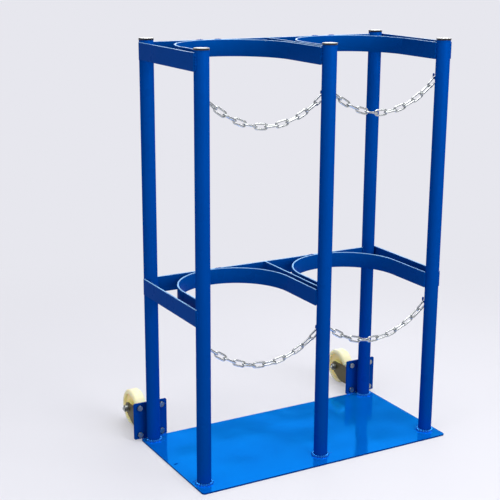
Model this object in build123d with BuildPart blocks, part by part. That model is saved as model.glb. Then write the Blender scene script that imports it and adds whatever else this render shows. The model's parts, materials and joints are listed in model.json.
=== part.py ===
from build123d import *
from math import atan, cos, degrees, radians, sin, sqrt
import os

# Mobile stand for two gas cylinders: posts of round tube and bands of flat bar, welded to a
# steel base plate, with a safety chain across each bay at two heights and a rigid caster behind
# each rear post. The casters take the weight when the stand is tipped back.
# Millimetres. The origin is the centre of the base plate's underside, +Z is up, and the open
# front of the bays faces -Y.

# Base plate
plate_width = 700
plate_depth = 350
plate_thickness = 4
plate_corner_radius = 8

# Posts, of one-inch pipe
tube_diameter = 34
tube_wall = 2.5
post_length = 1000
post_side_inset = 28
post_front_inset = 50

# Weld bead round the foot of each post
bead_leg = 5
bead_gap = 0.05
rear_bead_arc = 200

# Plastic end caps
cap_overhang = 0.8
cap_flange_thickness = 4
cap_flange_chamfer = 1.2
cap_plug_length = 16
cap_plug_gap = 0.05

# Bands of flat bar: side rails, rear rail, divider and the two cradles at each level
bar_height = 40
bar_thickness = 4
upper_band_drop = 5
lower_band_height = 388
rail_front_overrun = 4
rail_rear_setback = 3
cradle_setback = 5

# Chains and the eyes and hooks that hold their ends, behind the front posts. Their wire has a
# few flats, and their bends are facets, to keep the faces of so many links few.
wire_sides = 6
link_wire = 4.5
link_length = 37.3
link_width = 16.5
link_gap = 0.4
ring_gap = 0.8
chain_sag = 66
chain_drop = 42
eye_wire = 5
eye_radius = 8
eye_bends = 12
hook_bends = 7
eye_standoff = 13
eye_offset = 10
hook_offset = 4
centre_hook_drop = 24
eye_stem_diameter = 6

# Caster wheels, which run on a steel sleeve round the axle bolt
wheel_diameter = 96
wheel_width = 30
wheel_shoulder = 5
wheel_floor_gap = 2
wheel_plate_gap = 44
hub_width = 32
hub_diameter = 36
hub_side_gap = 1
web_width = 16
rim_thickness = 12
sleeve_diameter = 15
sleeve_running_gap = 0.05

# Caster forks, whose legs hang lower than the axle at the plate
fork_thickness = 3
fork_root = 48
fork_drop = 9
fork_belly_radius = 25
fork_belly_reach = 60
fork_end_radius = 15
fork_bend_radius = 2
fork_plate_edge_x = 13
fork_plate_edge_z = 10

# Axle bolt and nut
axle_diameter = 10
axle_gap = 0.2
axle_hex = 17
axle_head_height = 6.5
axle_nut_height = 9
axle_thread_end = 4

# Caster brackets and the bolts that hold the forks to them
bracket_thickness = 5
bracket_corner_radius = 3
bracket_edge_x = 15
bracket_edge_z = 12
bolt_diameter = 8
bolt_hole_gap = 0.5
bolt_hex = 13
bolt_head_height = 5.5
bolt_nut_height = 6.5
bolt_thread_end = 3
bolt_pitch_z = 72
spanner_gap = 0.5
thread_gap = 0.05
hex_chamfer = 0.8

# Where the posts stand and the bands lie
tube_radius = tube_diameter / 2
post_pitch = plate_width / 2 - post_side_inset
front_row_y = post_front_inset - plate_depth / 2
rear_face_y = plate_depth / 2
rear_row_y = rear_face_y - tube_radius
post_top_z = plate_thickness + post_length
band_z = {
    "upper": post_top_z - upper_band_drop - bar_height,
    "lower": plate_thickness + lower_band_height,
}
post_places = {
    "left_front": (-post_pitch, front_row_y),
    "centre_front": (0, front_row_y),
    "right_front": (post_pitch, front_row_y),
    "left_rear": (-post_pitch, rear_row_y),
    "right_rear": (post_pitch, rear_row_y),
}
bay_x = {"left": -post_pitch / 2, "right": post_pitch / 2}

os.makedirs("parts", exist_ok=True)


def keep(part, name):
    """Labels a finished piece and writes it as one node."""
    part.label = name
    export_step(part, f"parts/{name}.step")


def copies(part, places):
    """The same piece at several places, as separate solids."""
    with BuildPart() as placed:
        with Locations(*places):
            add(part)
    return placed.part


# Base plate
with BuildPart() as base_plate:
    with BuildSketch():
        RectangleRounded(plate_width, plate_depth, plate_corner_radius)
    extrude(amount=plate_thickness)
keep(base_plate.part, "base_plate")

# Posts
for name, place in post_places.items():
    with BuildPart() as post:
        with BuildSketch(Plane.XY.offset(plate_thickness)):
            with Locations(place):
                Circle(tube_radius)
                Circle(tube_radius - tube_wall, mode=Mode.SUBTRACT)
        extrude(amount=post_length)
    keep(post.part, f"post_{name}")

# Foot welds: a full bead round each front post, and one round the front of each rear post, whose
# back lies against the caster bracket
with BuildPart() as foot_welds:
    for name, (x, y) in post_places.items():
        bead_arc = rear_bead_arc if "rear" in name else 360
        start = radians(-90 - bead_arc / 2)
        outwards = (cos(start), sin(start), 0)
        bead_plane = Plane((x, y, plate_thickness), x_dir=outwards, z_dir=(sin(start), -cos(start), 0))
        with BuildSketch(bead_plane):
            with BuildLine():
                bead_inside = tube_radius + bead_gap
                Polyline(
                    (bead_inside, 0),
                    (bead_inside + bead_leg, 0),
                    (bead_inside, bead_leg),
                    close=True,
                )
            make_face()
        revolve(axis=Axis((x, y, 0), (0, 0, 1)), revolution_arc=bead_arc)
keep(foot_welds.part, "foot_welds")

# End caps: a flange that covers the end of the tube and a plug inside it
with BuildPart() as end_cap:
    with BuildSketch(Plane.XZ):
        with BuildLine():
            flange_radius = tube_radius + cap_overhang
            plug_radius = tube_radius - tube_wall - cap_plug_gap
            Polyline(
                (0, cap_flange_thickness),
                (flange_radius - cap_flange_chamfer, cap_flange_thickness),
                (flange_radius, cap_flange_thickness - cap_flange_chamfer),
                (flange_radius, 0),
                (plug_radius, 0),
                (plug_radius, -cap_plug_length),
                (0, -cap_plug_length),
                close=True,
            )
        make_face()
    revolve(axis=Axis.Z)
keep(copies(end_cap.part, [(x, y, post_top_z) for x, y in post_places.values()]), "end_caps")

# Rails and cradles, one set at each level
rail_front_y = front_row_y - rail_front_overrun
rail_length = rear_row_y - rail_rear_setback - rail_front_y
rail_x = post_pitch + tube_radius + bar_thickness / 2
rear_rail_length = 2 * (post_pitch - tube_radius)
rear_rail_front_y = rear_row_y - bar_thickness / 2
divider_front_y = front_row_y + tube_radius
cradle_outer = post_pitch / 2 - tube_radius
cradle_inner = cradle_outer - bar_thickness
cradle_centre_y = rear_rail_front_y - cradle_outer
cradle_front = front_row_y + cradle_setback - cradle_centre_y
for level, z in band_z.items():
    # Side rails, welded to the outsides of the posts
    for side, x in (("left", -rail_x), ("right", rail_x)):
        with BuildPart() as side_rail:
            with BuildSketch(Plane.XY.offset(z)):
                with Locations((x, rail_front_y)):
                    Rectangle(bar_thickness, rail_length, align=(Align.CENTER, Align.MIN))
            extrude(amount=bar_height)
        keep(side_rail.part, f"{level}_rail_{side}")

    # Rear rail, between the two rear posts
    with BuildPart() as rear_rail:
        with BuildSketch(Plane.XY.offset(z)):
            with Locations((0, rear_row_y)):
                Rectangle(rear_rail_length, bar_thickness)
        extrude(amount=bar_height)
    keep(rear_rail.part, f"{level}_rail_rear")

    # Divider, from the rear rail to the back of the centre post
    with BuildPart() as divider:
        with BuildSketch(Plane.XY.offset(z)):
            with Locations((0, divider_front_y)):
                Rectangle(
                    bar_thickness, rear_rail_front_y - divider_front_y, align=(Align.CENTER, Align.MIN)
                )
        extrude(amount=bar_height)
    keep(divider.part, f"{level}_divider")

    # Cradles, bent to a half round whose back is welded to the rear rail and whose straight ends
    # are welded to the insides of the front posts
    for side, x in bay_x.items():
        with BuildPart() as cradle:
            with BuildSketch(Plane((x, cradle_centre_y, z))):
                with BuildLine():
                    Line((-cradle_outer, cradle_front), (-cradle_outer, 0))
                    ThreePointArc((-cradle_outer, 0), (0, cradle_outer), (cradle_outer, 0))
                    Line((cradle_outer, 0), (cradle_outer, cradle_front))
                    Line((cradle_outer, cradle_front), (cradle_inner, cradle_front))
                    Line((cradle_inner, cradle_front), (cradle_inner, 0))
                    ThreePointArc((cradle_inner, 0), (0, cradle_inner), (-cradle_inner, 0))
                    Line((-cradle_inner, 0), (-cradle_inner, cradle_front))
                    Line((-cradle_inner, cradle_front), (-cradle_outer, cradle_front))
                make_face()
            extrude(amount=bar_height)
        keep(cradle.part, f"{level}_cradle_{side}")


def bent_wire(points, diameter, inwards):
    """Wire of a few flats along straight runs; inwards points to the middle from the first point."""
    with BuildPart() as wire:
        with BuildLine() as route:
            Polyline(*points)
        with BuildSketch(Plane(points[0], x_dir=inwards, z_dir=route.line % 0)):
            RegularPolygon(diameter / 2, wire_sides, major_radius=False, rotation=180 / wire_sides)
        sweep(path=route.line, transition=Transition.RIGHT)
    return wire.part


# Eyes and hooks for the chains: upright rings across the chain's line, on stems welded to the
# backs of the front posts. An eye is closed and keeps its chain; a hook is open at the top. On
# the centre post, the hook of the left chain sits below the eye of the right one.
eye_y = front_row_y + tube_radius + eye_standoff
eye_z = {level: z - chain_drop for level, z in band_z.items()}
chain_span = post_pitch + hook_offset - eye_offset
hook_drop = {"left": centre_hook_drop, "right": 0}


def chain_holder(offset, bends, tilt):
    """One ring on its stem, about the ring's centre, offset in X from the axis of its post."""
    turn = radians(360 / eye_bends)
    corner_radius = eye_radius / cos(turn / 2)
    corners = [(0, -corner_radius * cos(a), -corner_radius * sin(a)) for a in
               [turn * (bend + 0.5) for bend in range(bends)]]
    ring_start = (0, -eye_radius, 0)
    ring_end = (0, -eye_radius * cos(turn * bends), -eye_radius * sin(turn * bends))
    ring = bent_wire([ring_start, *corners, ring_end], eye_wire, inwards=(0, 1, 0))
    post_axis = (-offset, -tube_radius - eye_standoff)
    with BuildPart() as holder:
        add(ring, rotation=(0, tilt, 0))
        with BuildSketch(Plane.XZ.offset(eye_radius)):
            RegularPolygon(eye_stem_diameter / 2, wire_sides, major_radius=False)
        extrude(amount=tube_radius + eye_standoff - eye_radius)
        with BuildSketch(Plane.XY.offset(-eye_stem_diameter)):
            with Locations(post_axis):
                Circle(tube_radius)
        extrude(amount=2 * eye_stem_diameter, mode=Mode.SUBTRACT)
    return holder.part


eye_x = {"left": eye_offset - post_pitch, "right": eye_offset}
with BuildPart() as chain_eyes:
    for side, x in eye_x.items():
        with Locations(*[(x, eye_y, z) for z in eye_z.values()]):
            add(chain_holder(eye_offset, eye_bends, degrees(atan(hook_drop[side] / chain_span))))
keep(chain_eyes.part, "chain_eyes")
with BuildPart() as chain_hooks:
    for side, x in eye_x.items():
        with Locations(*[(x + chain_span, eye_y, z - hook_drop[side]) for z in eye_z.values()]):
            add(chain_holder(hook_offset, hook_bends, degrees(atan(hook_drop[side] / chain_span))))
keep(chain_hooks.part, "chain_hooks")

# One chain link: a long ring whose ends have three facets each
link_long = link_length - link_wire
link_wide = link_width - link_wire
link_cut = (link_wide / 2) * (2 - sqrt(2))
link_middle = (0, -link_wide / 2)
link_corners = [
    (link_long / 2 - link_cut, -link_wide / 2),
    (link_long / 2, -link_wide / 2 + link_cut),
    (link_long / 2, link_wide / 2 - link_cut),
    (link_long / 2 - link_cut, link_wide / 2),
    (-link_long / 2 + link_cut, link_wide / 2),
    (-link_long / 2, link_wide / 2 - link_cut),
    (-link_long / 2, -link_wide / 2 + link_cut),
    (-link_long / 2 + link_cut, -link_wide / 2),
]
link = bent_wire([link_middle, *link_corners, link_middle], link_wire, inwards=(0, 1, 0))

# The hanging curve of a chain: every link carries the weight of those below it, so the slope of
# the links changes by an equal step. The step, and the lean towards a lower hook, are found by
# trial until the ends meet the eye and the hook.
link_pitch = link_long - link_wire - link_gap
end_reach = link_long / 2 - link_wire / 2 - eye_wire / 2 - ring_gap
end_overlap = link_pitch / 2 - end_reach
chain_length = chain_span * (1 + 8 / 3 * (chain_sag / chain_span) ** 2)
link_count = 2 * round((chain_length / link_pitch - 1) / 2) + 1


def end_to_end(slopes, direction):
    """How far a chain goes from its eye to its hook: along with cos, down with sin."""
    run = sum(link_pitch * direction(slope) for slope in slopes)
    return run - end_overlap * (direction(slopes[0]) + direction(slopes[-1]))


def leaning_slopes(step, drop):
    """Angle of each link below the level, in radians, from the eye to a hook this much lower."""
    lean = 0
    for trial in range(40):
        slopes = [atan(step * (link_count // 2 - index) + lean) for index in range(link_count)]
        lean += (drop - end_to_end(slopes, sin)) / chain_span
    return slopes


def hung_links(drop):
    """The links of a chain from an eye at the origin. Its first and last links lie upright along
    the chain, through the ring of the eye or hook, and every other one is turned a quarter turn."""
    flat_step, steep_step = 0, 1
    for halving in range(50):
        step = (flat_step + steep_step) / 2
        slopes = leaning_slopes(step, drop)
        if end_to_end(slopes, cos) > chain_span:
            flat_step = step
        else:
            steep_step = step
    link_planes = []
    tilt = atan(drop / chain_span)
    link_x = -eye_radius * sin(tilt) - end_overlap * cos(slopes[0])
    link_z = -eye_radius * cos(tilt) + end_overlap * sin(slopes[0])
    for index, slope in enumerate(slopes):
        along = (cos(slope), 0, -sin(slope))
        across = (0, -1, 0) if index % 2 == 0 else (sin(slope), 0, cos(slope))
        centre = (link_x + along[0] * link_pitch / 2, 0, link_z + along[2] * link_pitch / 2)
        link_planes.append(Plane(centre, x_dir=along, z_dir=across))
        link_x += along[0] * link_pitch
        link_z += along[2] * link_pitch
    return copies(link, link_planes)


# Chains
for side, x in eye_x.items():
    links = hung_links(hook_drop[side])
    for level, z in eye_z.items():
        keep(copies(links, [(x, eye_y, z)]), f"{level}_chain_{side}")

# Casters: both are the same and are fitted the same way round. Each piece is made about the
# middle plane of the wheel, and then placed behind each rear post.
wheel_radius = wheel_diameter / 2
axle_z = wheel_radius + wheel_floor_gap
fork_face_y = rear_face_y + bracket_thickness
axle_y = fork_face_y + fork_thickness + wheel_plate_gap + wheel_radius
fork_inside = hub_width / 2 + hub_side_gap
fork_outside = fork_inside + fork_thickness
bolt_pitch_x = 2 * (fork_outside + fork_bend_radius + bolt_hex / sqrt(3) + spanner_gap)
bracket_width = bolt_pitch_x + 2 * bracket_edge_x
bracket_height = bolt_pitch_z + 2 * bracket_edge_z
bracket_z = plate_thickness + bracket_height / 2
fork_plate_width = bolt_pitch_x + 2 * fork_plate_edge_x
fork_plate_height = bolt_pitch_z + 2 * fork_plate_edge_z
axle_radius = axle_diameter / 2
axle_hole = axle_radius + axle_gap
sleeve_radius = sleeve_diameter / 2
caster_x = {"left": -post_pitch, "right": post_pitch}
caster_places = [(x, 0, 0) for x in caster_x.values()]

# Bracket: a steel plate welded to the back of the rear post and the rear edge of the base
with BuildPart() as bracket:
    with BuildSketch(Plane.XZ.offset(-rear_face_y)):
        with Locations((0, bracket_z)):
            RectangleRounded(bracket_width, bracket_height, bracket_corner_radius)
            with GridLocations(bolt_pitch_x, bolt_pitch_z, 2, 2):
                Circle(bolt_diameter / 2 + bolt_hole_gap, mode=Mode.SUBTRACT)
    extrude(amount=-bracket_thickness)

# Fork: a pressed plate with two legs, leaf-shaped, that taper to the axle
with BuildPart() as fork:
    with BuildSketch(Plane.XZ.offset(-fork_face_y)):
        with Locations((0, bracket_z)):
            RectangleRounded(fork_plate_width, fork_plate_height, bracket_corner_radius)
            with GridLocations(bolt_pitch_x, bolt_pitch_z, 2, 2):
                Circle(bolt_diameter / 2 + bolt_hole_gap, mode=Mode.SUBTRACT)
    extrude(amount=-fork_thickness)
    for leg_x in (-fork_outside, fork_inside):
        with BuildSketch(Plane.YZ.offset(leg_x)):
            with Locations((fork_face_y, axle_z - fork_drop)):
                Rectangle(fork_thickness, fork_root, align=(Align.MIN, Align.CENTER))
            with Locations((fork_face_y + fork_belly_reach, axle_z - fork_drop)):
                Circle(fork_belly_radius)
            with Locations((axle_y, axle_z)):
                Circle(fork_end_radius)
            make_hull()
            with Locations((axle_y, axle_z)):
                Circle(axle_hole, mode=Mode.SUBTRACT)
        extrude(amount=fork_thickness)
    # The bends: of the upright edges on the plate's back, the two at each leg
    plate_back_edges = fork.edges().filter_by(Axis.Z).group_by(Axis.Y)[1]
    fillet(plate_back_edges.sort_by(lambda edge: abs(edge.center().X))[:4], fork_bend_radius)

# Sleeve: the steel tube that the axle bolt clamps between the legs
with BuildPart() as sleeve:
    with BuildSketch(Plane.YZ.offset(-fork_inside)):
        with Locations((axle_y, axle_z)):
            Circle(sleeve_radius)
            Circle(axle_hole, mode=Mode.SUBTRACT)
    extrude(amount=2 * fork_inside)

# Axle bolt, with its head outside the right leg
with BuildPart() as axle_bolt:
    with BuildSketch(Plane.YZ.offset(fork_outside)):
        with Locations((axle_y, axle_z)):
            RegularPolygon(axle_hex / 2, 6, major_radius=False)
    extrude(amount=axle_head_height)
    chamfer(axle_bolt.faces().sort_by(Axis.X)[-1].edges(), hex_chamfer)
    with BuildSketch(Plane.YZ.offset(fork_outside)):
        with Locations((axle_y, axle_z)):
            Circle(axle_radius)
    extrude(amount=-(2 * fork_outside + axle_nut_height + axle_thread_end))

# Axle nut, outside the left leg
with BuildPart() as axle_nut:
    with BuildSketch(Plane.YZ.offset(-fork_outside)):
        with Locations((axle_y, axle_z)):
            RegularPolygon(axle_hex / 2, 6, major_radius=False)
    extrude(amount=-axle_nut_height)
    chamfer(axle_nut.faces().sort_by(Axis.X)[0].edges(), hex_chamfer)
    with BuildSketch(Plane.YZ.offset(-fork_outside)):
        with Locations((axle_y, axle_z)):
            Circle(axle_radius + thread_gap)
    extrude(amount=-axle_nut_height, mode=Mode.SUBTRACT)

# Wheel: one piece of moulded plastic, with a recess between hub and rim on both sides
with BuildPart() as wheel:
    with BuildSketch(Plane((0, axle_y, axle_z), x_dir=(1, 0, 0), z_dir=(0, -1, 0))):
        with BuildLine():
            bore_radius = sleeve_radius + sleeve_running_gap
            rim_inside = wheel_radius - rim_thickness
            tread_edge = wheel_width / 2 - wheel_shoulder
            half = Polyline(
                (hub_width / 2, bore_radius),
                (hub_width / 2, hub_diameter / 2),
                (web_width / 2, hub_diameter / 2),
                (web_width / 2, rim_inside),
                (wheel_width / 2, rim_inside),
                (wheel_width / 2, wheel_radius - wheel_shoulder),
                (tread_edge, wheel_radius),
            )
            mirror(half, about=Plane.YZ)
            Line((-hub_width / 2, bore_radius), (hub_width / 2, bore_radius))
            Line((-tread_edge, wheel_radius), (tread_edge, wheel_radius))
        make_face()
    revolve(axis=Axis((0, axle_y, axle_z), (1, 0, 0)))

for side, x in caster_x.items():
    for piece, made in (("caster_bracket", bracket), ("caster_fork", fork), ("wheel", wheel)):
        keep(copies(made.part, [(x, 0, 0)]), f"{piece}_{side}")
keep(copies(sleeve.part, caster_places), "axle_sleeves")
keep(copies(axle_bolt.part, caster_places), "axle_bolts")
keep(copies(axle_nut.part, caster_places), "axle_nuts")

# Bolts and nuts that hold the forks to their brackets, heads to the front
bolt_places = [
    (x + dx, bracket_z + dz)
    for x in caster_x.values()
    for dx in (-bolt_pitch_x / 2, bolt_pitch_x / 2)
    for dz in (-bolt_pitch_z / 2, bolt_pitch_z / 2)
]
nut_y = fork_face_y + fork_thickness
with BuildPart() as caster_bolts:
    with BuildSketch(Plane.XZ.offset(-rear_face_y)):
        with Locations(*bolt_places):
            RegularPolygon(bolt_hex / 2, 6, major_radius=False)
    extrude(amount=bolt_head_height)
    chamfer(caster_bolts.faces().filter_by(Plane.XZ).group_by(Axis.Y)[0].edges(), hex_chamfer)
    with BuildSketch(Plane.XZ.offset(-rear_face_y)):
        with Locations(*bolt_places):
            Circle(bolt_diameter / 2)
    extrude(amount=-(nut_y - rear_face_y + bolt_nut_height + bolt_thread_end))
keep(caster_bolts.part, "caster_bolts")

with BuildPart() as caster_nuts:
    with BuildSketch(Plane.XZ.offset(-nut_y)):
        with Locations(*bolt_places):
            RegularPolygon(bolt_hex / 2, 6, major_radius=False)
            Circle(bolt_diameter / 2 + thread_gap, mode=Mode.SUBTRACT)
    extrude(amount=-bolt_nut_height)
keep(caster_nuts.part, "caster_nuts")

print("links in each chain:", link_count)
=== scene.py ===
# Looks of a welded steel stand for two gas cylinders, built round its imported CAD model.
# Metres, in the CAD model's own frame: +Z is up, and the open front of the bays faces -Y.
import json
from math import atan, cos, pi, radians, sin, tan, tau
from random import Random

import bmesh
import bpy
from mathutils import Matrix, Vector


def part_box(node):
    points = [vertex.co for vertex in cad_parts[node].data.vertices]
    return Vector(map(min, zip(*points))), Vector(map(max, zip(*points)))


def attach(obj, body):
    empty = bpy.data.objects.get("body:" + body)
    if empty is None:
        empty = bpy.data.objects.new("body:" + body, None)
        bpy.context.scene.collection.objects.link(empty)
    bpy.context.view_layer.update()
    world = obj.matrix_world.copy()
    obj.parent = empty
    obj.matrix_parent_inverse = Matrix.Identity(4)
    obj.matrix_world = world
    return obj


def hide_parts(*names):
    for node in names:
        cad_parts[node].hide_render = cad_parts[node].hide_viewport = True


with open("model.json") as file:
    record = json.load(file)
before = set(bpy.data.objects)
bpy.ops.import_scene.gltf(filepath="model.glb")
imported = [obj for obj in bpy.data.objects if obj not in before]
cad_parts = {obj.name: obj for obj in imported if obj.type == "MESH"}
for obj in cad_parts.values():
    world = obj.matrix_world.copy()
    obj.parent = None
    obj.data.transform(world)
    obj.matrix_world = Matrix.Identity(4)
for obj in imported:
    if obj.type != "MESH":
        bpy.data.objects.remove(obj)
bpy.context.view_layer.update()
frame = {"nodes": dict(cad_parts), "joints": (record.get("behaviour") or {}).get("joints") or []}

# Base plate: 4 mm mild steel, sheared to size with its corners rounded, that the cylinders stand
# on. It is sprayed with the frame's blue enamel once the posts are welded to it, and as rolled
# sheet is never quite flat, its gloss wavers.
plate_edge_radius = 0.0008
plate_waver = 0.0016
merge_distance = 0.00001
sharp_edge = radians(40)


def linear(code):
    """Linear colour of an sRGB hex code."""
    values = [int(code[place:place + 2], 16) / 255 for place in (0, 2, 4)]
    return [v / 12.92 if v <= 0.04045 else ((v + 0.055) / 1.055) ** 2.4 for v in values] + [1]


def new_material(name):
    """An empty node material."""
    material = bpy.data.materials.new(name)
    material.use_nodes = True
    material.node_tree.nodes.clear()
    return material


def add_node(material, kind, sockets, **options):
    """Adds a shader node with its options; each socket takes a value or a link from another socket."""
    node = material.node_tree.nodes.new("ShaderNode" + kind)
    for option, value in options.items():
        setattr(node, option, value)
    for socket, value in sockets.items():
        if isinstance(value, bpy.types.NodeSocket):
            material.node_tree.links.new(value, node.inputs[socket])
        else:
            node.inputs[socket].default_value = value
    return node


def enamel(name, deep, bright, waver, roughness, metallic, glint, index, painted_top_highlight=0, edge=None):
    """Glossy air-drying enamel, sprayed on steel. The eye sees a deep even blue with fine orange peel and
    blue reflections, with a pale highlight painted on top by the share given. The steel below is flat to
    the waver, and if an edge colour is given, faces that don't face up are painted in it as shade."""
    paint = new_material(name)
    place = add_node(paint, "TexCoord", {}).outputs["Object"]
    # Passes of the spray gun overlap about every 120 mm
    pass_width = 0.12
    passes = add_node(paint, "TexNoise", {"Vector": place, "Scale": 1 / pass_width, "Detail": 2})
    # A Mix of colours takes them on sockets 6 and 7, and gives the blend on output 2
    colour = add_node(
        paint, "Mix", {0: passes.outputs["Fac"], 6: linear(deep), 7: linear(bright)}, data_type="RGBA"
    )
    # Handling leaves duller patches of about 45 mm
    patch_size = 0.045
    handling = add_node(paint, "TexNoise", {"Vector": place, "Scale": 1 / patch_size, "Detail": 3})
    # A pale highlight is painted on what faces up, reaching about 2 mm round the edge, in patches
    if painted_top_highlight:
        highlight_colour = linear("A8DCFA")
        highlight_rounding = 0.002
        rounded = add_node(paint, "Bevel", {"Radius": highlight_rounding}, samples=6)
        upward = add_node(paint, "SeparateXYZ", {0: rounded.outputs["Normal"]})
        top = add_node(
            paint, "MapRange",
            {"Value": upward.outputs["Z"], "From Min": 0.3, "From Max": 0.75, "To Max": painted_top_highlight},
        )
        patchy = add_node(
            paint, "MapRange",
            {"Value": handling.outputs["Fac"], "From Min": 0.35, "From Max": 0.65, "To Min": 0.7},
        )
        painted_highlight = add_node(
            paint, "Math", {0: top.outputs["Result"], 1: patchy.outputs["Result"]}, operation="MULTIPLY"
        )
        colour = add_node(
            paint, "Mix", {0: painted_highlight.outputs["Value"], 6: colour.outputs[2], 7: highlight_colour}, data_type="RGBA"
        )
    # Faces that don't face up take the edge colour instead, as painted shade
    if edge:
        facing = add_node(paint, "NewGeometry", {})
        upward = add_node(paint, "SeparateXYZ", {0: facing.outputs["Normal"]})
        sheet_face = add_node(
            paint, "MapRange", {"Value": upward.outputs["Z"], "From Min": 0.8, "From Max": 0.98}
        )
        colour = add_node(
            paint, "Mix", {0: sheet_face.outputs["Result"], 6: linear(edge), 7: colour.outputs[2]},
            data_type="RGBA",
        )
    gloss = add_node(
        paint, "MapRange",
        {"Value": handling.outputs["Fac"], "From Min": 0.3, "From Max": 0.7, "To Min": roughness * 0.85,
         "To Max": roughness * 1.15},
    )
    # Orange peel is 1 to 2 mm across; it is drawn at 5 mm, or it wouldn't show
    peel_size = 0.005
    peel_depth = 0.0004
    peel = add_node(paint, "TexNoise", {"Vector": place, "Scale": 1 / peel_size, "Detail": 1})
    grain = add_node(
        paint, "Bump", {"Height": peel.outputs["Fac"], "Strength": 0.12, "Distance": peel_depth}
    )
    # Steel sheet and bar wave over about 110 mm
    wave_length = 0.11
    sheet = add_node(paint, "TexNoise", {"Vector": place, "Scale": 1 / wave_length, "Detail": 0})
    waves = add_node(
        paint, "Bump",
        {"Height": sheet.outputs["Fac"], "Strength": 1, "Distance": waver,
         "Normal": grain.outputs["Normal"]},
    )
    surface = add_node(
        paint, "BsdfPrincipled",
        {"Base Color": colour.outputs[2], "Roughness": gloss.outputs["Result"], "Metallic": metallic,
         "IOR": index, "Specular Tint": linear(glint), "Normal": waves.outputs["Normal"]},
    )
    add_node(paint, "OutputMaterial", {"Surface": surface.outputs["BSDF"]})
    return paint


def dress(node, material, edge_radius):
    """Gives a CAD piece its finish, and rounds its sharp edges."""
    piece = frame["nodes"][node]
    piece.data.materials.clear()
    piece.data.materials.append(material)
    weld = piece.modifiers.new("Weld", "WELD")
    weld.merge_threshold = merge_distance
    bevel = piece.modifiers.new("Bevel", "BEVEL")
    bevel.width = edge_radius
    bevel.segments = 2
    bevel.angle_limit = sharp_edge
    bevel.harden_normals = True


# Its blue is painted paler than the frame's, as painted reflection of pale walls and light from above, and
# its upright edges darker, as painted shade
plate_enamel = enamel(
    "cobalt_enamel_on_sheet", "007AE8", "008CF8", plate_waver, roughness=0.08, metallic=0.6, glint="00E8FF",
    index=1.06, edge="003684",
)
dress("base_plate", plate_enamel, plate_edge_radius)

# Posts: five lengths of one-inch steel pipe, cut square and stood on the plate, three in the front
# row and two in the rear. They have the same enamel over a drawn surface, which is straighter
# than the sheet.
post_names = ("left_front", "centre_front", "right_front", "left_rear", "right_rear")
post_edge_radius = 0.0004
tube_waver = 0.0003
frame_enamel = enamel(
    "cobalt_enamel_on_tube", "003F92", "00449C", tube_waver, roughness=0.3, metallic=0.12, glint="1480F4",
    index=1.01,
)
post_foot = {}
post_head = {}
for name in post_names:
    dress(f"post_{name}", frame_enamel, post_edge_radius)
    low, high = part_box(f"post_{name}")
    post_foot[name] = Vector(((low.x + high.x) / 2, (low.y + high.y) / 2, low.z))
    post_head[name] = Vector((post_foot[name].x, post_foot[name].y, high.z))
tube_radius = (high.x - low.x) / 2

# Foot welds: one bead of hand-laid weld round each post, in ripples where each puddle froze. The
# backs of the rear posts are closed by their caster brackets, so there the bead goes round the
# front only. Round the feet lie a few drops of spatter under the paint.
bead_radius = 0.0034
bead_reach = 0.0014
bead_sides = 8
ripple_length = 0.006
rings_per_ripple = 7
ripple_depth = 0.28
rear_bead_arc = radians(200)
bead_end_size = 0.4
bead_end_growth = 0.2
drops_per_foot = 7
drop_throw = (0.007, 0.014)
drop_radius = (0.0006, 0.0014)
towards_front = -pi / 2
smooth_angle = radians(38)
# One hand, the same each time, lays the beads, hangs the links and tightens the bolts
hand = Random(11)
hand_waver = 0.12
hand_recovery = 0.3


def add_piece(name, shape, material, slot, body, *nodes):
    """Makes a finished bmesh a piece that rides on a body and stands for the CAD nodes named."""
    mesh = bpy.data.meshes.new(name)
    shape.to_mesh(mesh)
    shape.free()
    mesh.shade_smooth()
    mesh.set_sharp_from_angle(angle=smooth_angle)
    mesh.materials.append(material)
    piece = bpy.data.objects.new(name, mesh)
    bpy.context.scene.collection.objects.link(piece)
    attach(piece, body)
    if nodes:
        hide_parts(*nodes)


def lay_bead(shape, spine, radius, closed=False):
    """Adds a weld bead along a line of points: rings that swell where each puddle froze, and are
    smaller at the ends of a bead that isn't closed."""
    rings = []
    last = len(spine) - 1
    drift = 1
    for index, point in enumerate(spine):
        behind = spine[index - 1] if index or closed else point
        ahead = spine[(index + 1) % len(spine)] if index < last or closed else point
        drift += hand_recovery * (1 - drift) + hand.uniform(-hand_waver, hand_waver)
        swell = drift + ripple_depth * cos(tau * index / rings_per_ripple)
        if not closed:
            swell *= min(1, bead_end_size + bead_end_growth * min(index, last - index))
        turn = (ahead - behind).to_track_quat("Z", "Y").to_matrix().to_4x4()
        ring = bmesh.ops.create_circle(
            shape, cap_ends=not closed and index in (0, last), segments=bead_sides, radius=radius * swell,
            matrix=Matrix.Translation(point) @ turn,
        )
        rings.append(list({edge for vert in ring["verts"] for edge in vert.link_edges}))
    pairs = list(zip(rings, rings[1:]))
    if closed:
        pairs.append((rings[-1], rings[0]))
    for ring, following in pairs:
        bmesh.ops.bridge_loops(shape, edges=ring + following)


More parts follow.
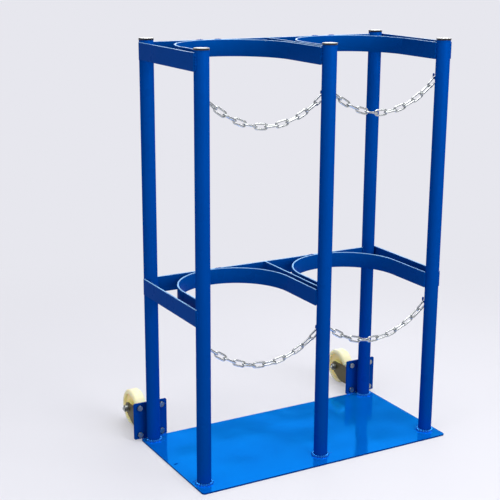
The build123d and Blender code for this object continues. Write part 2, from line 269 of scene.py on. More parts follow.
# Over the ripples the coat catches the light in small pale glints, and its blue is painted paler than the
# tube's, as painted highlight
weld_enamel = enamel(
    "cobalt_enamel_on_weld", "0A60BC", "3C9CF4", tube_waver, roughness=0.1, metallic=0.7, glint="A8ECFF",
    index=1.15,
)
foot_beads = bmesh.new()
for name, foot in post_foot.items():
    is_rear = "rear" in name
    arc = rear_bead_arc if is_rear else tau
    circle = tube_radius + bead_reach
    count = round(arc * circle / ripple_length) * rings_per_ripple
    spine = []
    for index in range(count):
        angle = towards_front - arc / 2 + arc * index / (count - 1 if is_rear else count)
        spine.append(foot + Vector((circle * cos(angle), circle * sin(angle), bead_reach)))
    lay_bead(foot_beads, spine, bead_radius, closed=not is_rear)
    # Drops of spatter, their lower parts sunk into the plate
    for _ in range(drops_per_foot):
        angle = towards_front + hand.uniform(-0.5, 0.5) * arc
        throw = tube_radius + hand.uniform(*drop_throw)
        size = hand.uniform(*drop_radius)
        spot = foot + Vector((throw * cos(angle), throw * sin(angle), size / 4))
        bmesh.ops.create_icosphere(
            foot_beads, subdivisions=2, radius=size, matrix=Matrix.Translation(spot)
        )
bmesh.ops.recalc_face_normals(foot_beads, faces=foot_beads.faces)
add_piece("foot_beads", foot_beads, weld_enamel, "blue_enamel", "frame", "foot_welds")

# Weld strike: a short run of weld metal that was struck on the plate between the left posts and
# left there. It has the tube's enamel, darker than the plate's blue, which is painted paler as reflection.
strike_x = -0.3368
strike_y = -0.0028
strike_heading = radians(20)
strike_half_length = 0.0065
strike_half_width = 0.0024
strike_height = 0.0012
strike_place = Matrix.Translation((strike_x, strike_y, post_foot["left_front"].z))
strike_turn = Matrix.Rotation(strike_heading, 4, "Z")
strike_shape = Matrix.Diagonal((strike_half_length, strike_half_width, strike_height, 1))
strike = bmesh.new()
bmesh.ops.create_icosphere(
    strike, subdivisions=3, radius=1, matrix=strike_place @ strike_turn @ strike_shape
)
add_piece("weld_strike", strike, frame_enamel, "blue_enamel", "frame")

# Bands: flat bar of 40 by 4 mm at two heights. The side rails lap the outsides of the posts, the
# rear rail runs between the rear posts, the divider goes forward from it to the centre post, and
# U-bent bars make the cradles. All have short upright beads, and a pale highlight painted on top.
bar_edge_radius = 0.0006
bar_bead_radius = 0.0021
bead_inset = 0.002
bead_pitch = ripple_length / rings_per_ripple
# How far the middle of a bead lies from the faces and ends that it joins
rail_bead_past_end = 0.0006
rail_bead_inside = 0.0002
rear_bead_out = 0.001
divider_bead_out = 0.0008
divider_bead_in = 0.0008
cradle_bead_in = 0.001
tack_length = 0.02
tack_spread = 0.024
tack_out = 0.0008
tack_sunk = 0.0006


def straight_bead(shape, start, heading, length):
    """Adds a thin bead from a point, straight along a heading."""
    count = round(length / bead_pitch)
    lay_bead(shape, [start + heading * (bead_pitch * step) for step in range(count)], bar_bead_radius)


def upright_bead(shape, x, y, low_z, high_z):
    """Adds a thin bead up the height of a bar, a little short of its edges."""
    start = Vector((x, y, low_z + bead_inset))
    straight_bead(shape, start, Vector((0, 0, 1)), high_z - low_z - 2 * bead_inset)


bar_enamel = enamel(
    # Their blue is a touch deeper than the tubes', as painted shade
    "cobalt_enamel_on_bar", "003F8A", "004494", tube_waver, roughness=0.3, metallic=0.12, glint="1480F4",
    index=1.05, painted_top_highlight=0.7,
)
bar_beads = bmesh.new()
for level in ("upper", "lower"):
    for piece in ("rail_left", "rail_right", "rail_rear", "divider", "cradle_left", "cradle_right"):
        dress(f"{level}_{piece}", bar_enamel, bar_edge_radius)
    # Side rails: a bead up each end, where the bar leaves the round of the post
    for side, inward in (("left", 1), ("right", -1)):
        low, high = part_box(f"{level}_rail_{side}")
        inside = high.x if side == "left" else low.x
        for end_y in (low.y - rail_bead_past_end, high.y + rail_bead_past_end):
            upright_bead(bar_beads, inside + inward * rail_bead_inside, end_y, low.z, high.z)
    # Rear rail: a bead on its front and back at each post
    low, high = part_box(f"{level}_rail_rear")
    for end_x in (low.x, high.x):
        for face_y in (low.y - rear_bead_out, high.y + rear_bead_out):
            upright_bead(bar_beads, end_x, face_y, low.z, high.z)
    band_top = high.z
    rail_face_y = low.y
    # Divider: a bead on both sides at each end
    low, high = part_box(f"{level}_divider")
    for face_x in (low.x - divider_bead_out, high.x + divider_bead_out):
        for end_y in (low.y + divider_bead_in, high.y - divider_bead_in):
            upright_bead(bar_beads, face_x, end_y, low.z, high.z)
    # Cradles: a bead up each front end, and tacks on top where the back lies on the rear rail
    for side in ("left", "right"):
        low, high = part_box(f"{level}_cradle_{side}")
        for end_x in (low.x, high.x):
            upright_bead(bar_beads, end_x, low.y + cradle_bead_in, low.z, high.z)
        middle = (low.x + high.x) / 2
        for offset in (-tack_spread, tack_spread):
            tack_x = middle + offset - tack_length / 2
            start = Vector((tack_x, rail_face_y - tack_out, band_top - tack_sunk))
            straight_bead(bar_beads, start, Vector((1, 0, 0)), tack_length)
bmesh.ops.recalc_face_normals(bar_beads, faces=bar_beads.faces)
add_piece("bar_beads", bar_beads, frame_enamel, "blue_enamel", "frame")

# End caps: black polyethylene plugs pushed into the tops of the posts. The moulded top is a little
# crowned and smooth enough to shine at a low angle, and its rim stands just proud of the pipe.
cap_steps = 48
# Radius and height of each corner, from the middle of the top to the middle of the foot
cap_profile = (
    (0, 0.004), (0.0135, 0.00398), (0.0166, 0.00392), (0.0174, 0.0037), (0.0177, 0.0034), (0.0178, 0.003),
    (0.0178, 0.0004), (0.0175, 0.0), (0.0144, 0.0), (0.0142, -0.015), (0.0132, -0.016), (0, -0.016),
)


def turned(profile, steps, closed=False):
    """A shape of revolution about Z from points of radius and height, like a piece from a lathe."""
    shape = bmesh.new()
    points = [shape.verts.new((radius, 0, height)) for radius, height in profile]
    runs = [shape.edges.new(pair) for pair in zip(points, points[1:])]
    if closed:
        runs.append(shape.edges.new((points[-1], points[0])))
    bmesh.ops.spin(
        shape, geom=points + runs, cent=(0, 0, 0), axis=(0, 0, 1), angle=tau, steps=steps, use_merge=True
    )
    bmesh.ops.remove_doubles(shape, verts=shape.verts, dist=merge_distance)
    bmesh.ops.recalc_face_normals(shape, faces=shape.faces)
    return shape


def repeat(pattern, places):
    """One shape with a copy of the pattern at each place."""
    mesh = bpy.data.meshes.new("pattern")
    pattern.to_mesh(mesh)
    pattern.free()
    copies = bmesh.new()
    for place in places:
        made = len(copies.verts)
        copies.from_mesh(mesh)
        copies.verts.ensure_lookup_table()
        bmesh.ops.transform(copies, matrix=place, verts=copies.verts[made:])
    bpy.data.meshes.remove(mesh)
    return copies


# Black low-density polyethylene: soft gloss from the mould, with a matt grain of 1.5 mm and a grey
# bloom in patches of about 12 mm
mould_grain = 0.0015
bloom_patch = 0.012
polyethylene = new_material("black_polyethylene")
place = add_node(polyethylene, "TexCoord", {}).outputs["Object"]
mould = add_node(polyethylene, "TexNoise", {"Vector": place, "Scale": 1 / mould_grain, "Detail": 2})
bloom = add_node(polyethylene, "TexNoise", {"Vector": place, "Scale": 1 / bloom_patch, "Detail": 2})
black = add_node(
    polyethylene, "Mix", {0: bloom.outputs["Fac"], 6: linear("0C0C0E"), 7: linear("1B1C20")},
    data_type="RGBA",
)
grain = add_node(
    polyethylene, "Bump", {"Height": mould.outputs["Fac"], "Strength": 0.05, "Distance": 0.0002}
)
surface = add_node(
    polyethylene, "BsdfPrincipled",
    {"Base Color": black.outputs[2], "Roughness": 0.3, "IOR": 1.51, "Normal": grain.outputs["Normal"]},
)
add_node(polyethylene, "OutputMaterial", {"Surface": surface.outputs["BSDF"]})

caps = repeat(turned(cap_profile, cap_steps), [Matrix.Translation(head) for head in post_head.values()])
add_piece("moulded_caps", caps, polyethylene, "black_plastic", "frame", "end_caps")

# Chain eyes and hooks: 5 mm wire bent to a ring, on a 6 mm stem welded to the back of a front
# post. An eye is closed and keeps one end of its chain, and a hook is open at the top to let the
# other end go. They are painted with the frame.
ring_radius = 0.008
ring_wire_radius = 0.0025
ring_standoff = 0.013
eye_offset = 0.010
hook_offset = 0.004
stem_radius = 0.003
stem_sunk = 0.004
hook_turn = radians(210)
hook_tip_round = 0.7
ring_step = radians(9)
wire_sides = 14
chain_span = post_foot["centre_front"].x - post_foot["left_front"].x + hook_offset - eye_offset


def ring_on_stem(turn):
    """A ring about the origin in the YZ plane, bent round by the turn, with its stem along -Y."""
    shape = bmesh.new()
    start = Matrix.Translation((0, -ring_radius, 0))
    wire = bmesh.ops.create_circle(
        shape, segments=wire_sides, radius=ring_wire_radius, matrix=start
    )["verts"]
    runs = list({edge for vert in wire for edge in vert.link_edges})
    whole = turn == tau
    bmesh.ops.spin(
        shape, geom=wire + runs, cent=(0, 0, 0), axis=(1, 0, 0), angle=turn, steps=round(turn / ring_step),
        use_merge=whole,
    )
    if not whole:
        rims = [edge for edge in shape.edges if edge.is_boundary]
        tips = bmesh.ops.holes_fill(shape, edges=rims)["faces"]
        rims = list({edge for tip in tips for edge in tip.edges})
        bmesh.ops.bevel(
            shape, geom=rims, offset=ring_wire_radius * hook_tip_round, segments=4, profile=0.5,
            affect="EDGES", material=-1,
        )
    length = ring_standoff - ring_radius + stem_sunk
    bmesh.ops.create_cone(
        shape, cap_ends=True, segments=wire_sides, radius1=stem_radius, radius2=stem_radius, depth=length,
        matrix=Matrix.Translation((0, -ring_radius - length / 2, 0)) @ Matrix.Rotation(pi / 2, 4, "X"),
    )
    bmesh.ops.recalc_face_normals(shape, faces=shape.faces)
    return shape


eye_places = {}
hook_places = {}
for joint in frame["joints"]:
    if "chain" in joint["name"]:
        middle = Vector(joint["pos_m"])
        line = Vector(joint["axis"])
        half_line = line * (chain_span / 2 / line.x)
        tilt = Matrix.Rotation(atan(-line.z / line.x), 4, "Y")
        eye_places[joint["child"]] = Matrix.Translation(middle - half_line) @ tilt
        hook_places[joint["child"]] = Matrix.Translation(middle + half_line) @ tilt
eyes = repeat(ring_on_stem(tau), eye_places.values())
add_piece("wire_eyes", eyes, frame_enamel, "blue_enamel", "frame", "chain_eyes")
hooks = repeat(ring_on_stem(hook_turn), hook_places.values())
add_piece("wire_hooks", hooks, frame_enamel, "blue_enamel", "frame", "chain_hooks")

# Chains: 4.5 mm steel wire links, bent round and butt welded in the middle of one side, then zinc
# plated bright. Thirteen links hang from the eye to the hook, each a quarter turn from the last.
link_wire = 0.0045
link_length = 0.0373
link_width = 0.0165
link_gap = 0.0004
ring_gap = 0.0008
link_count = 13
link_lean = 0.14
weld_swell = 1.16
weld_half_width = 0.0004
link_sides = 12
half_side_steps = 3
bend_steps = 10
link_long = link_length - link_wire
link_wide = link_width - link_wire
link_pitch = link_long - link_wire - link_gap
end_overlap = link_pitch / 2 - (link_long / 2 - link_wire / 2 - ring_wire_radius - ring_gap)
lean_trials = 40
halvings = 50


def zinc(name, dull, bright, roughness):
    """Electroplated zinc: a pale metal with faint cloudy patches left by the bath, paler on the wire of
    the chains as painted highlight, and darker on the bolts."""
    plating = new_material(name)
    place = add_node(plating, "TexCoord", {}).outputs["Object"]
    cloud_size = 0.014
    clouds = add_node(plating, "TexNoise", {"Vector": place, "Scale": 1 / cloud_size, "Detail": 4})
    tone = add_node(
        plating, "Mix", {0: clouds.outputs["Fac"], 6: linear(dull), 7: linear(bright)}, data_type="RGBA"
    )
    haze = add_node(
        plating, "MapRange",
        {"Value": clouds.outputs["Fac"], "From Min": 0.3, "From Max": 0.7, "To Min": roughness * 1.3,
         "To Max": roughness * 0.8},
    )
    # The die leaves marks a tenth of a millimetre wide along the wire; they are 0.8 mm here, or they
    # wouldn't show
    mark_width = 0.0008
    mark_depth = 0.0001
    marks = add_node(plating, "TexNoise", {"Vector": place, "Scale": 1 / mark_width, "Detail": 1})
    grain = add_node(
        plating, "Bump", {"Height": marks.outputs["Fac"], "Strength": 0.1, "Distance": mark_depth}
    )
    surface = add_node(
        plating, "BsdfPrincipled",
        {"Base Color": tone.outputs[2], "Roughness": haze.outputs["Result"], "Metallic": 1,
         "Normal": grain.outputs["Normal"]},
    )
    add_node(plating, "OutputMaterial", {"Surface": surface.outputs["BSDF"]})
    return plating


def chain_link():
    """One link about the origin, long in X and flat in XY, with its weld in the middle of one side."""
    shape = bmesh.new()
    bend_x = (link_long - link_wide) / 2
    side = Matrix.Translation((0, -link_wide / 2, 0)) @ Matrix.Rotation(pi / 2, 4, "Y")
    wire = bmesh.ops.create_circle(shape, segments=link_sides, radius=link_wire / 2, matrix=side)["verts"]
    end = wire + list({edge for vert in wire for edge in vert.link_edges})
    # From the weld along half a side, round a bend, along the other side, round a bend, and back
    for centre_x, travel, steps, angle in (
        (0, bend_x, half_side_steps, 0),
        (bend_x, 0, bend_steps, pi),
        (0, -2 * bend_x, 2 * half_side_steps, 0),
        (-bend_x, 0, bend_steps, pi),
        (0, bend_x, half_side_steps, 0),
    ):
        end = bmesh.ops.spin(
            shape, geom=end, cent=(centre_x, 0, 0), axis=(0, 0, 1), dvec=(travel / steps, 0, 0),
            angle=angle, steps=steps,
        )["geom_last"]
    bmesh.ops.remove_doubles(shape, verts=shape.verts, dist=merge_distance)
    for vert in shape.verts:
        if vert.co.y < 0 and abs(vert.co.x) < weld_half_width:
            vert.co.y = (vert.co.y + link_wide / 2) * weld_swell - link_wide / 2
            vert.co.z *= weld_swell
    bmesh.ops.recalc_face_normals(shape, faces=shape.faces)
    return shape


def end_to_end(slopes, direction):
    """How far a chain goes from its eye to its hook: along with cos, down with sin."""
    run = sum(link_pitch * direction(slope) for slope in slopes)
    return run - end_overlap * (direction(slopes[0]) + direction(slopes[-1]))


def leaning_slopes(step, drop):
    """Each link's angle below the level, when the slope changes by equal steps towards a hook this low."""
    lean = 0
    for _ in range(lean_trials):
        slopes = [atan(step * (link_count // 2 - index) + lean) for index in range(link_count)]
        lean += (drop - end_to_end(slopes, sin)) / chain_span
    return slopes


def hanging_slopes(drop):
    """The slopes of a hanging chain: every link carries those below it, so the step from link to link
    is equal, and it is found by halving until the chain reaches its hook."""
    flat_step, steep_step = 0, 1
    for _ in range(halvings):
        step = (flat_step + steep_step) / 2
        slopes = leaning_slopes(step, drop)
        if end_to_end(slopes, cos) > chain_span:
            flat_step = step
        else:
            steep_step = step
    return slopes


# Paler than the bolts' zinc, as painted highlight
chain_zinc = zinc("bright_zinc_on_wire", "A4A8A6", "E0E3E0", 0.22)
for chain, eye in eye_places.items():
    slopes = hanging_slopes(eye.translation.z - hook_places[chain].translation.z)
    first_heading = Vector((cos(slopes[0]), 0, -sin(slopes[0])))
    joint_point = eye @ Vector((0, 0, -ring_radius)) - end_overlap * first_heading
    link_places = []
    for index, slope in enumerate(slopes):
        along = Vector((cos(slope), 0, -sin(slope)))
        lean = hand.uniform(-link_lean, link_lean) if 0 < index < link_count - 1 else 0
        quarter = pi / 2 if index % 2 == 0 else 0
        turn = Matrix.Rotation(slope, 4, "Y") @ Matrix.Rotation(quarter + lean, 4, "X")
        link_places.append(Matrix.Translation(joint_point + along * link_pitch / 2) @ turn)
        joint_point = joint_point + along * link_pitch
    add_piece(f"{chain}_links", repeat(chain_link(), link_places), chain_zinc, "zinc", chain, chain)

# Caster brackets: 5 mm steel plates welded to the backs of the rear posts and to the rear edge of
# the base plate, with four holes each for the casters. They sit away from the light, and their
# enamel is a darker copy of the posts', as painted shade.
bracket_edge_radius = 0.0007
# The groove beside a post is this far from its middle, and the bead this far in front of the bracket
groove_x = 0.0085
groove_bead_out = 0.0014
groove_bead_start = 0.004
# Along the plate the beads keep clear of the post's own, and of the ends
post_clearance = 0.019
end_clearance = 0.003
edge_bead_out = 0.0008
bracket_enamel = enamel(
    "cobalt_enamel_on_bracket", "003889", "004094", tube_waver, roughness=0.36, metallic=0.15,
    glint="1468F0", index=1.01,
)
bracket_beads = bmesh.new()
plate_low, plate_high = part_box("base_plate")
for side in ("left", "right"):
    dress(f"caster_bracket_{side}", bracket_enamel, bracket_edge_radius)
    low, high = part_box(f"caster_bracket_{side}")
    post_x = post_foot[f"{side}_rear"].x
    # Up both sides of the post, in the groove that its round leaves
    groove_foot = plate_high.z + groove_bead_start
    for bead_x in (post_x - groove_x, post_x + groove_x):
        upright_bead(bracket_beads, bead_x, low.y - groove_bead_out, groove_foot, high.z)
    # Along the plate's rear edge, on both sides of the post
    for start_x, end_x in ((low.x, post_x - post_clearance), (post_x + post_clearance, high.x)):
        start_x = max(start_x, plate_low.x) + end_clearance
        end_x = min(end_x, plate_high.x) - end_clearance
        start = Vector((start_x, low.y - edge_bead_out, plate_high.z + edge_bead_out))
        straight_bead(bracket_beads, start, Vector((1, 0, 0)), end_x - start_x)
bmesh.ops.recalc_face_normals(bracket_beads, faces=bracket_beads.faces)
add_piece("bracket_beads", bracket_beads, weld_enamel, "blue_enamel", "frame")

# Caster forks: 3 mm sheet pressed to a plate with two leaf-shaped legs, passivated a dull olive
# grey. The press leaves faint streaks along the legs, and the colour is darker along the edges.
fork_edge_radius = 0.0005
streak_width = 0.003
streak_length = 0.03
dark_edge_width = 0.0015
pressed_steel = new_material("passivated_pressed_steel")
place = add_node(pressed_steel, "TexCoord", {}).outputs["Object"]
# Streaks from the press run along Y: 30 mm long and 3 mm wide
drawn = add_node(
    pressed_steel, "Mapping",
    {"Vector": place, "Scale": (1 / streak_width, 1 / streak_length, 1 / streak_width)},
)
streaks = add_node(pressed_steel, "TexNoise", {"Vector": drawn.outputs["Vector"], "Scale": 1, "Detail": 3})
tone = add_node(
    pressed_steel, "Mix", {0: streaks.outputs["Fac"], 6: linear("4A4428"), 7: linear("645C3A")},
    data_type="RGBA",
)
rounded = add_node(pressed_steel, "Bevel", {"Radius": dark_edge_width}, samples=6)
facing = add_node(pressed_steel, "NewGeometry", {})
flat = add_node(
    pressed_steel, "VectorMath", {0: rounded.outputs["Normal"], 1: facing.outputs["Normal"]},
    operation="DOT_PRODUCT",
)
dark_edge_share = add_node(
    pressed_steel, "MapRange",
    {"Value": flat.outputs["Value"], "From Min": 0.86, "From Max": 0.99, "To Min": 0.6, "To Max": 0},
)
colour = add_node(
    pressed_steel, "Mix", {0: dark_edge_share.outputs["Result"], 6: tone.outputs[2], 7: linear("23211A")},
    data_type="RGBA",
)
surface = add_node(
    pressed_steel, "BsdfPrincipled", {"Base Color": colour.outputs[2], "Metallic": 0.5, "Roughness": 0.42}
)
add_node(pressed_steel, "OutputMaterial", {"Surface": surface.outputs["BSDF"]})
for side in ("left", "right"):
    dress(f"caster_fork_{side}", pressed_steel, fork_edge_radius)

# Wheels: moulded cream nylon, 96 mm across, with a round-shouldered tread and a recess between
# hub and rim on both sides. Its colour is yellower towards the hub.
shoulder_radius = 0.0065
moulded_radius = 0.0012
wheel_steps = 72
wheel_corner = radians(57)
# Distances from the axle: up to the first the nylon is yellowest, and past the second it is cream
yellow_within = 0.016
cream_beyond = 0.043
# A hair under 48 mm, because the flats of the CAD wheel fall short of the full round
wheel_radius = 0.047995
# Radius and distance from the middle plane, from the bore by hub, recess and rim to the tread
wheel_side = (
    (0.00755, 0.016), (0.0178, 0.016), (0.0186, 0.008), (0.0352, 0.008), (0.0362, 0.015),
    (wheel_radius, 0.015),
)
wheel_profile = [(radius, -height) for radius, height in wheel_side] + list(reversed(wheel_side))


def nylon(name, axle):
    """Cream polyamide, moulded: a soft gloss, yellower towards the hub, with faint scuffs on the tread."""
    plastic = new_material(name)
    place = add_node(plastic, "TexCoord", {}).outputs["Object"]
    from_axle = add_node(plastic, "VectorMath", {0: place, 1: axle}, operation="SUBTRACT")
    across = add_node(
        plastic, "VectorMath", {0: from_axle.outputs["Vector"], 1: (0, 1, 1)}, operation="MULTIPLY"
    )
    distance = add_node(plastic, "VectorMath", {0: across.outputs["Vector"]}, operation="LENGTH")
    # 1 within yellow_within of the axle, 0 beyond cream_beyond: the share of the yellower colour
    depth = add_node(
        plastic, "MapRange",
        {"Value": distance.outputs["Value"], "From Min": yellow_within, "From Max": cream_beyond,
         "To Min": 1, "To Max": 0},
    )
    colour = add_node(
        plastic, "Mix", {0: depth.outputs["Result"], 6: linear("FFF0C8"), 7: linear("FFEA8C")},
        data_type="RGBA",
    )
    # Scuffs from a workshop floor are 1 to 4 mm
    scuff_size = 0.004
    scuff_depth = 0.0003
    scuffs = add_node(plastic, "TexNoise", {"Vector": place, "Scale": 1 / scuff_size, "Detail": 4})
    gloss = add_node(
        plastic, "MapRange",
        {"Value": scuffs.outputs["Fac"], "From Min": 0.35, "From Max": 0.7, "To Min": 0.34, "To Max": 0.5},
    )
    grain = add_node(
        plastic, "Bump", {"Height": scuffs.outputs["Fac"], "Strength": 0.06, "Distance": scuff_depth}
    )
    surface = add_node(
        plastic, "BsdfPrincipled",
        {"Base Color": colour.outputs[2], "Roughness": gloss.outputs["Result"], "IOR": 1.53,
         "Subsurface Weight": 0.7, "Subsurface Radius": (1, 0.8, 0.4), "Subsurface Scale": 0.015,
         "Normal": grain.outputs["Normal"]},
    )
    add_node(plastic, "OutputMaterial", {"Surface": surface.outputs["BSDF"]})
    return plastic


def moulded_wheel():
    """A wheel about the origin, turning on Z, with its corners rounded as a mould rounds them."""
    shape = turned(wheel_profile, wheel_steps, closed=True)
    corners = [edge for edge in shape.edges if edge.calc_face_angle(0) > wheel_corner]
    tread = [edge for edge in corners if edge.verts[0].co.xy.length > wheel_radius - merge_distance]
    bmesh.ops.bevel(
        shape, geom=tread, offset=shoulder_radius, segments=7, profile=0.5, affect="EDGES", material=-1
    )
    corners = [edge for edge in shape.edges if edge.calc_face_angle(0) > wheel_corner]
    bmesh.ops.bevel(
        shape, geom=corners, offset=moulded_radius, segments=3, profile=0.5, affect="EDGES", material=-1
    )
    return shape


caster_x = {}
for joint in frame["joints"]:
    if "wheel" in joint["name"]:
        body = joint["child"]
        axle = Vector(joint["pos_m"])
        caster_x[body] = axle.x
        place = Matrix.Translation(axle) @ Matrix.Rotation(pi / 2, 4, "Y")
        wheel = repeat(moulded_wheel(), [place])
        cream_nylon = nylon(f"cream_nylon_{body}", axle)
        add_piece(f"{body}_moulding", wheel, cream_nylon, "wheel_plastic", body, body)

# Axles: an M10 bolt clamps a plain steel sleeve between the legs of each fork, with its head on the
# right and its nut on the left. All are zinc plated.
fork_half_width = 0.02
axle_flats = 0.017
axle_head_height = 0.0065
axle_nut_height = 0.009
axle_radius = 0.005
axle_thread_end = 0.004
axle_thread_pitch = 0.0015
sleeve_edge_radius = 0.0003
hex_steps = 48
# The round end face of a head or nut, as a share of its flats, and the slope that cuts its corners
hex_round = 0.8
hex_chamfer = radians(30)
shank_sides = 32
shank_point = 0.86
thread_depth = 0.0004
tooth_half = 0.45
steps_per_turn = 24


def hexagon(flats, height, bore=0):
    """A hexagon about Z from z = 0 up, its corners cut to a cone on top and, for a nut, below and bored."""
    shape = bmesh.new()
    middle = Matrix.Translation((0, 0, height / 2))
    bmesh.ops.create_cone(
        shape, cap_ends=True, segments=hex_steps, radius1=flats / 2, radius2=flats / 2, depth=height,
        matrix=middle,
    )
    walls = list(shape.verts)
    ends = [face for face in shape.faces if len(face.verts) == hex_steps]
    bmesh.ops.inset_region(shape, faces=ends, thickness=flats / 2 * (1 - hex_round))
    for vert in walls:
        around = Vector((1, 0)).angle_signed(vert.co.xy) % (tau / 6)
        reach = flats / 2 / cos(around - tau / 12)
        cut = (reach - flats / 2 * hex_round) * tan(hex_chamfer)
        vert.co.xy = vert.co.xy.normalized() * reach
        if vert.co.z > height / 2:
            vert.co.z -= cut
        elif bore:
            vert.co.z += cut
    if bore:
        bmesh.ops.inset_region(shape, faces=ends, thickness=flats / 2 * hex_round - bore)
        rims = [edge for face in ends for edge in face.edges]
        bmesh.ops.delete(shape, geom=ends, context="FACES_ONLY")
        bmesh.ops.bridge_loops(shape, edges=rims)
    bmesh.ops.recalc_face_normals(shape, faces=shape.faces)
    return shape


def bolt(flats, head_height, radius, length, thread_length, pitch):
    """A hexagon bolt about Z, its head above z = 0 and its shank below, threaded at the end."""
    shape = hexagon(flats, head_height)
    bmesh.ops.create_cone(
        shape, cap_ends=True, segments=shank_sides, radius1=radius * shank_point, radius2=radius, depth=pitch,
        matrix=Matrix.Translation((0, 0, pitch / 2 - length)),
    )
    bmesh.ops.create_cone(
        shape, cap_ends=True, segments=shank_sides, radius1=radius, radius2=radius, depth=length - pitch,
        matrix=Matrix.Translation((0, 0, (pitch - length) / 2)),
    )
    foot = pitch - length
    tooth = [
        shape.verts.new((radius - thread_depth, 0, foot - tooth_half * pitch)),
        shape.verts.new((radius + thread_depth, 0, foot)),
        shape.verts.new((radius - thread_depth, 0, foot + tooth_half * pitch)),
    ]
    sides = [shape.edges.new((tooth[index - 1], tooth[index])) for index in range(3)]
    turns = (thread_length - pitch) / pitch
    bmesh.ops.spin(
        shape, geom=tooth + sides, cent=(0, 0, 0), axis=(0, 0, 1), dvec=(0, 0, pitch / steps_per_turn),
        angle=tau * turns, steps=round(steps_per_turn * turns),
    )
    bmesh.ops.holes_fill(shape, edges=[edge for edge in shape.edges if edge.is_boundary])
    bmesh.ops.recalc_face_normals(shape, faces=shape.faces)
    return shape


hardware_zinc = zinc("bright_zinc_on_hardware", "868C8C", "BEC3C0", 0.4)
dress("axle_sleeves", hardware_zinc, sleeve_edge_radius)
axle_y, axle_z = axle.y, axle.z
axle_length = 2 * fork_half_width + axle_nut_height + axle_thread_end
to_right = Matrix.Rotation(pi / 2, 4, "Y")
to_left = Matrix.Rotation(-pi / 2, 4, "Y")
axle_heads = []
axle_ends = []
for x in caster_x.values():
    axle_heads.append(Matrix.Translation((x + fork_half_width, axle_y, axle_z)) @ to_right)
    axle_ends.append(Matrix.Translation((x - fork_half_width, axle_y, axle_z)) @ to_left)
axle_bolt = bolt(axle_flats, axle_head_height, axle_radius, axle_length, axle_thread_end, axle_thread_pitch)
add_piece("plated_axle_bolts", repeat(axle_bolt, axle_heads), hardware_zinc, "zinc", "frame", "axle_bolts")
axle_nut = hexagon(axle_flats, axle_nut_height, axle_radius)
add_piece("plated_axle_nuts", repeat(axle_nut, axle_ends), hardware_zinc, "zinc", "frame", "axle_nuts")

# Caster bolts: four M8 bolts hold each fork to its bracket, heads to the front and nuts behind,
# zinc plated like the axles.
bolt_flats = 0.013
bolt_head_height = 0.0055
bolt_nut_height = 0.0065
bolt_radius = 0.004
bolt_thread_end = 0.003
bolt_thread_pitch = 0.00125
bolt_low, bolt_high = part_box("caster_bolts")
bracket_face_y = bolt_low.y + bolt_head_height
fork_back_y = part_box("caster_nuts")[0].y
half_across_corners = bolt_flats / cos(radians(30)) / 2
outermost_x = max(bolt_high.x, -bolt_low.x) - half_across_corners
bolt_spots = []
for x in caster_x.values():
    reach = outermost_x - abs(x)
    for z in (bolt_low.z + bolt_flats / 2, bolt_high.z - bolt_flats / 2):
        bolt_spots += [(x - reach, z), (x + reach, z)]
to_front = Matrix.Rotation(pi / 2, 4, "X")
to_back = Matrix.Rotation(-pi / 2, 4, "X")
bolt_length = fork_back_y - bracket_face_y + bolt_nut_height + bolt_thread_end
bolt_places = []
nut_places = []
for x, z in bolt_spots:
    tightened = Matrix.Rotation(hand.uniform(0, pi / 3), 4, "Z")
    bolt_places.append(Matrix.Translation((x, bracket_face_y, z)) @ to_front @ tightened)
    nut_places.append(Matrix.Translation((x, fork_back_y, z)) @ to_back @ tightened)
one_bolt = bolt(bolt_flats, bolt_head_height, bolt_radius, bolt_length, bolt_thread_end, bolt_thread_pitch)
all_bolts = repeat(one_bolt, bolt_places)
add_piece("plated_caster_bolts", all_bolts, hardware_zinc, "zinc", "frame", "caster_bolts")
all_nuts = repeat(hexagon(bolt_flats, bolt_nut_height, bolt_radius), nut_places)
add_piece("plated_caster_nuts", all_nuts, hardware_zinc, "zinc", "frame", "caster_nuts")

# Floor and light: a plain pale floor that fades to an even backdrop, a soft box overhead, a large
# one in front, a weak one on the left, and a long low one far behind for the top edges of the bars.
floor_size = 60
fade_start = 0.55
fade_end = 1.9
near_fade = 0.4
backdrop_colour = linear("E7E7EE")
floor_paint = new_material("pale_floor")
# To the eye and in reflections the floor is pale, but it throws up the light of a greyer one
rays = add_node(floor_paint, "LightPath", {})
seen = add_node(
    floor_paint, "Math", {0: rays.outputs["Is Camera Ray"], 1: rays.outputs["Is Glossy Ray"]},
    operation="MAXIMUM",
)
tint = add_node(
    floor_paint, "Mix", {0: seen.outputs["Value"], 6: linear("8C8C92"), 7: linear("D8D8DE")},
    data_type="RGBA",
)
surface = add_node(floor_paint, "BsdfPrincipled", {"Base Color": tint.outputs[2], "Roughness": 0.8})
backdrop = add_node(floor_paint, "Emission", {"Color": backdrop_colour, "Strength": 1})
place = add_node(floor_paint, "TexCoord", {}).outputs["Object"]
distance = add_node(floor_paint, "VectorMath", {0: place}, operation="LENGTH")
far = add_node(
    floor_paint, "MapRange",
    {"Value": distance.outputs["Value"], "From Min": fade_start, "From Max": fade_end, "To Min": near_fade},
    interpolation_type="SMOOTHSTEP",
)
fade = add_node(
    floor_paint, "Math", {0: seen.outputs["Value"], 1: far.outputs["Result"]}, operation="MULTIPLY"
)
both = add_node(
    floor_paint, "MixShader",
    {0: fade.outputs["Value"], 1: surface.outputs["BSDF"], 2: backdrop.outputs["Emission"]},
)
add_node(floor_paint, "OutputMaterial", {"Surface": both.outputs["Shader"]})
floor_shape = bmesh.new()
bmesh.ops.create_grid(floor_shape, x_segments=1, y_segments=1, size=floor_size / 2)
floor_mesh = bpy.data.meshes.new("floor")
floor_shape.to_mesh(floor_mesh)
floor_shape.free()
floor_mesh.materials.append(floor_paint)
floor = bpy.data.objects.new("floor", floor_mesh)
bpy.context.scene.collection.objects.link(floor)

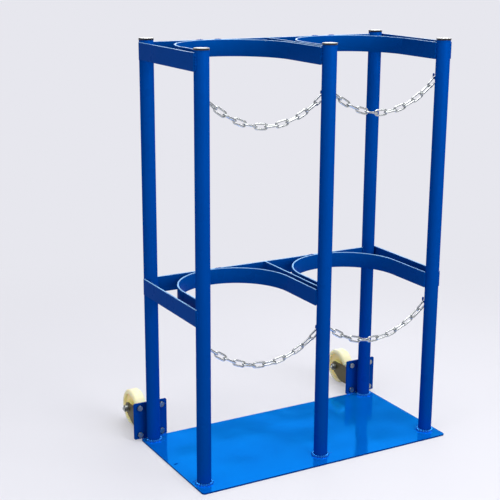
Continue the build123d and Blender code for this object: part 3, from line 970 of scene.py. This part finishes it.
world = bpy.data.worlds.new("studio")
bpy.context.scene.world = world
world.use_nodes = True
world.node_tree.nodes.clear()
# What shiny faces see of the walls grows brighter from about 22 to 25 degrees up, and their light on
# the stand is weaker than they look
dim_below = sin(radians(22))
bright_above = sin(radians(25))
low_wall = 0.25
wall_light = 0.42
direction = add_node(world, "TexCoord", {})
upward = add_node(world, "SeparateXYZ", {0: direction.outputs["Generated"]})
wall = add_node(
    world, "MapRange",
    {"Value": upward.outputs["Z"], "From Min": dim_below, "From Max": bright_above, "To Min": low_wall},
    interpolation_type="SMOOTHSTEP",
)
rays = add_node(world, "LightPath", {})
mirrored = add_node(
    world, "MapRange",
    {"Value": rays.outputs["Is Glossy Ray"], "To Min": wall_light, "To Max": wall.outputs["Result"]},
)
strength = add_node(
    world, "Math", {0: rays.outputs["Is Camera Ray"], 1: mirrored.outputs["Result"]}, operation="MAXIMUM"
)
walls = add_node(world, "Background", {"Color": backdrop_colour, "Strength": strength.outputs["Value"]})
add_node(world, "OutputWorld", {"Surface": walls.outputs["Background"]})

# Place, width, height and power of each soft box, all aimed at the middle of the stand
stand_middle = Vector((0, 0, 0.5))
for name, place, width, height, power in (
    ("overhead_box", (0.4, -0.4, 3.6), 3.0, 3.0, 118),
    ("front_box", (1.4, -3.7, 2.1), 3.0, 2.6, 125),
    ("left_box", (-3.6, -0.8, 1.2), 2.0, 2.0, 36),
    ("rear_box", (4.1, 6.8, 1.9), 4.0, 1.7, 110),
):
    lamp = bpy.data.lights.new(name, "AREA")
    lamp.shape = "RECTANGLE"
    lamp.size = width
    lamp.size_y = height
    lamp.energy = power
    light = bpy.data.objects.new(name, lamp)
    bpy.context.scene.collection.objects.link(light)
    light.visible_camera = False
    # Mirrored in the plate, these two would glare when seen from behind or from the right
    light.visible_glossy = name not in ("front_box", "left_box")
    aim = (Vector(place) - stand_middle).to_track_quat("Z", "Y").to_matrix().to_4x4()
    light.matrix_world = Matrix.Translation(place) @ aim

# Camera: where the photograph was taken from, in front and to the left. The photograph is a crop, so
# its middle lies up and to the left of the lens's axis.
camera_place = Vector((-1.4376, -2.3393, 1.2253))
camera_azimuth = radians(-30.130)
camera_elevation = radians(16.001)
camera_roll = radians(0.560)
camera = bpy.data.objects.new("camera", bpy.data.cameras.new("camera"))
bpy.context.scene.collection.objects.link(camera)
camera.data.sensor_width = 36
camera.data.lens = 83.43
camera.data.shift_x = -0.0376
camera.data.shift_y = 0.0468
backwards = Vector((
    sin(camera_azimuth) * cos(camera_elevation),
    -cos(camera_azimuth) * cos(camera_elevation),
    sin(camera_elevation),
))
facing = backwards.to_track_quat("Z", "Y").to_matrix().to_4x4()
camera.matrix_world = Matrix.Translation(camera_place) @ facing @ Matrix.Rotation(camera_roll, 4, "Z")
bpy.context.scene.camera = camera
bpy.context.scene.view_settings.view_transform = "Standard"
